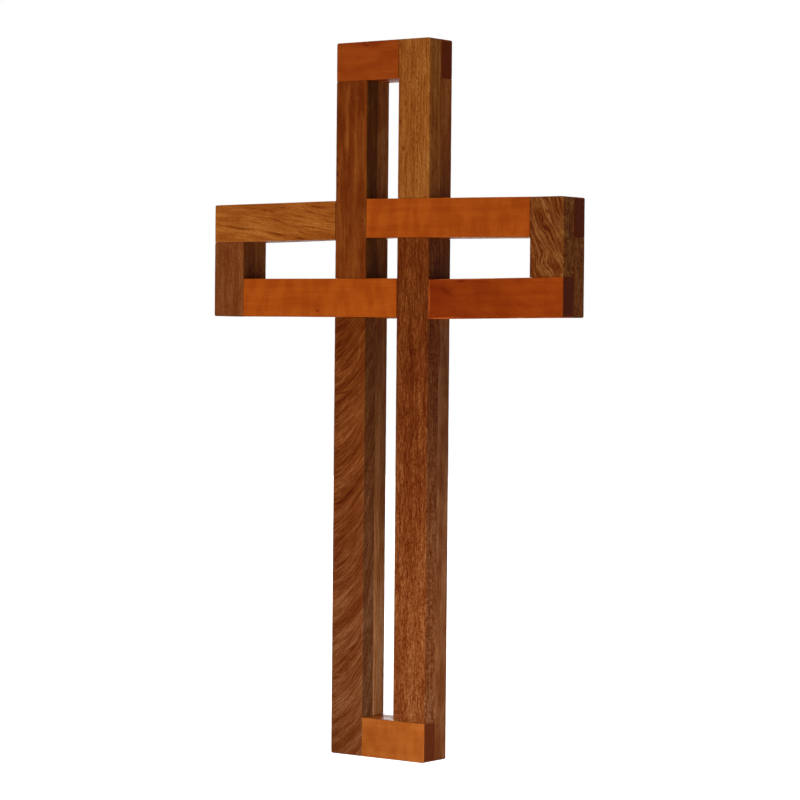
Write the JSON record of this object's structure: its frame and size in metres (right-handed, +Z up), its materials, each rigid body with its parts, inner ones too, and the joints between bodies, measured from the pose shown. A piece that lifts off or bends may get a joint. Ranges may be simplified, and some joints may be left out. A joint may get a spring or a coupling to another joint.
{
  "type": "wall cross",
  "caption": "Wooden wall cross: an open outline of glued hardwood strips in overlapping layers, hung on a nail through the opening below its top.",
  "frame": {"origin": "on the flat back, at the middle of the top crosspiece, where it bears on the wall just above its nail", "axes": "+Z up along the uprights, +Y out of the back into the wall, so the front faces -Y; +X to the right seen from the front"},
  "size_m": [0.279, 0.0237, 0.46],
  "materials": {
    "orange_wood": "fine-grained orange hardwood, oiled satin",
    "red_orange_wood": "fine-grained red-orange hardwood, oiled satin",
    "golden_wood": "golden-brown hardwood with thin dark slanting streaks, oiled satin",
    "amber_wood": "amber-brown hardwood, straight grain with small dark flecks, oiled satin",
    "red_brown_wood": "reddish-brown hardwood, soft straight grain, oiled satin",
    "brown_wood": "brown open-pored hardwood with dark flecks and figure, oiled satin",
    "walnut_brown_wood": "dark brown hardwood with light wavy figure, oiled satin"
  },
  "bodies": {
    "root": {"front_top_crosspiece": "red_orange_wood", "front_right_upright_upper": "amber_wood", "front_left_upright_upper": "red_brown_wood", "front_left_arm_upper": "golden_wood", "front_right_arm_upper": "orange_wood", "front_right_end": "walnut_brown_wood", "front_right_arm_lower": "red_orange_wood", "front_right_upright_lower": "brown_wood", "front_left_arm_lower": "orange_wood", "front_left_end": "walnut_brown_wood", "front_left_upright_lower": "brown_wood", "front_bottom_crosspiece": "orange_wood", "back_top_crosspiece": "orange_wood", "back_right_upright_upper": "brown_wood", "back_left_upright_upper": "red_brown_wood", "back_left_arm_upper": "orange_wood", "back_right_arm_upper": "red_orange_wood", "back_right_end": "brown_wood", "back_right_arm_lower": "orange_wood", "back_right_upright_lower": "red_brown_wood", "back_left_arm_lower": "golden_wood", "back_left_end": "walnut_brown_wood", "back_left_upright_lower": "brown_wood", "back_bottom_crosspiece": "red_orange_wood"}
  },
  "joints": []
}
